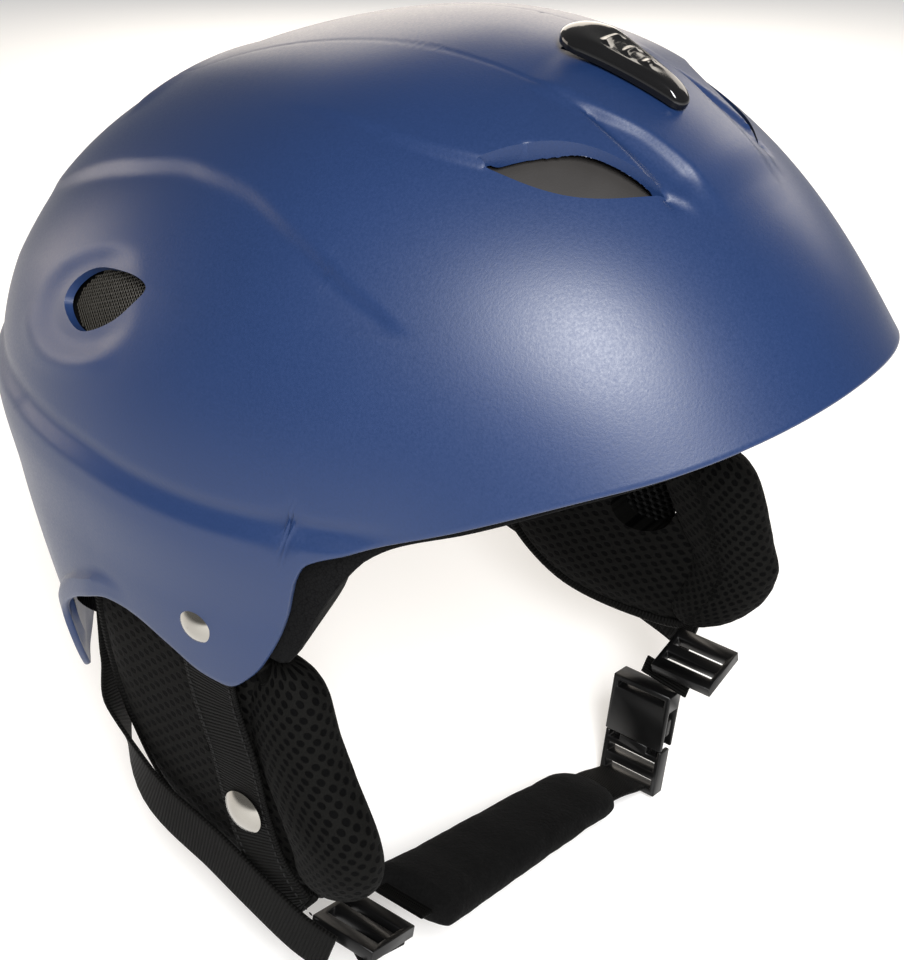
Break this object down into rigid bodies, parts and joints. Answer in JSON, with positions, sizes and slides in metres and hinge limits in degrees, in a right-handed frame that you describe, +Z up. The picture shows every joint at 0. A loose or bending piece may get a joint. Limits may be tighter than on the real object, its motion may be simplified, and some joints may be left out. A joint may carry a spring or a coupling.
{
  "type": "ski helmet",
  "caption": "Hard-shell snow sports helmet with a sliding crown vent, rear side vents, soft ear pads on riveted webbing and a padded chin strap with a side-release buckle.",
  "frame": {"origin": "on the middle plane inside the head cavity, level with the shell's front lower corners", "axes": "+Z up; -Y towards the wearer's front; +X towards the wearer's left"},
  "size_m": [0.2318, 0.2945, 0.3155],
  "materials": {
    "shell_paint": "satin blue paint with a fine speckle",
    "black_foam": "matt moulded foam",
    "lining_fabric": "brushed knit",
    "vent_mesh": "fine open mesh",
    "gloss_black": "gloss",
    "shutter_grey": "matt",
    "black_plastic": "satin",
    "chrome_metal": "polished",
    "webbing": "ribbed woven webbing",
    "spacer_fabric": "three-dimensional spacer mesh",
    "fleece": "short-pile fleece"
  },
  "bodies": {
    "helmet": {"outer_shell": "shell_paint", "eps_liner": "black_foam", "crown_pad": "lining_fabric", "brow_pad": "lining_fabric", "temple_pad_right": "lining_fabric", "temple_pad_left": "lining_fabric", "nape_pad": "lining_fabric", "rear_vent_mesh_right": "vent_mesh", "rear_vent_mesh_left": "vent_mesh", "shell_rivet_right": "chrome_metal", "shell_rivet_left": "chrome_metal", "rivet_washer_right": "chrome_metal", "rivet_washer_left": "chrome_metal", "front_webbing_right": "webbing", "front_webbing_left": "webbing", "rear_webbing_right": "webbing", "rear_webbing_left": "webbing", "rear_anchor_right": "black_plastic", "rear_anchor_left": "black_plastic", "snap_cap_right": "chrome_metal", "snap_cap_left": "chrome_metal", "strap_adjuster_right": "black_plastic", "strap_adjuster_left": "black_plastic", "webbing_tail": "webbing", "buckle_webbing": "webbing", "buckle_female": "black_plastic"},
    "vent_slider": {"vent_knob": "gloss_black", "vent_carriage": "black_plastic", "shutter_right": "shutter_grey", "shutter_left": "shutter_grey", "knob_screws": "chrome_metal"},
    "ear_pad_right": {"ear_panel_right": "spacer_fabric", "ear_roll_right": "spacer_fabric", "ear_window_right": "vent_mesh", "snap_stud_right": "chrome_metal"},
    "ear_pad_left": {"ear_panel_left": "spacer_fabric", "ear_roll_left": "spacer_fabric", "ear_window_left": "vent_mesh", "snap_stud_left": "chrome_metal"},
    "chin_strap": {"chin_webbing": "webbing", "chin_pad": "fleece", "buckle_male": "black_plastic"},
    "prong_front": {"buckle_prong_front": "black_plastic"},
    "prong_rear": {"buckle_prong_rear": "black_plastic"}
  },
  "joints": [
    {"name": "vent_slide", "type": "hinge", "parent": "helmet", "child": "vent_slider", "pos_m": [0, -0.001, -0.024], "axis": [-1, 0, 0], "range_deg": [0, 4.95]},
    {"name": "ear_pad_right_flex", "type": "hinge", "parent": "helmet", "child": "ear_pad_right", "pos_m": [-0.092, 0, -0.046], "axis": [0, -1, 0], "range_deg": [0, 25], "stiffness_Nm_per_rad": 0.15},
    {"name": "ear_pad_left_flex", "type": "hinge", "parent": "helmet", "child": "ear_pad_left", "pos_m": [0.092, 0, -0.046], "axis": [0, 1, 0], "range_deg": [0, 25], "stiffness_Nm_per_rad": 0.15},
    {"name": "chin_strap_swing", "type": "hinge", "parent": "helmet", "child": "chin_strap", "pos_m": [-0.071, -0.023, -0.148], "axis": [0, 1, 0], "range_deg": [0, 75]},
    {"name": "prong_front_squeeze", "type": "hinge", "parent": "chin_strap", "child": "prong_front", "pos_m": [0.07067, -0.0315, -0.17552], "axis": [0.9842, 0, -0.1771], "range_deg": [0, 7], "stiffness_Nm_per_rad": 0.02},
    {"name": "prong_rear_squeeze", "type": "hinge", "parent": "chin_strap", "child": "prong_rear", "pos_m": [0.07067, -0.0145, -0.17552], "axis": [-0.9842, 0, 0.1771], "range_deg": [0, 7], "stiffness_Nm_per_rad": 0.02}
  ]
}
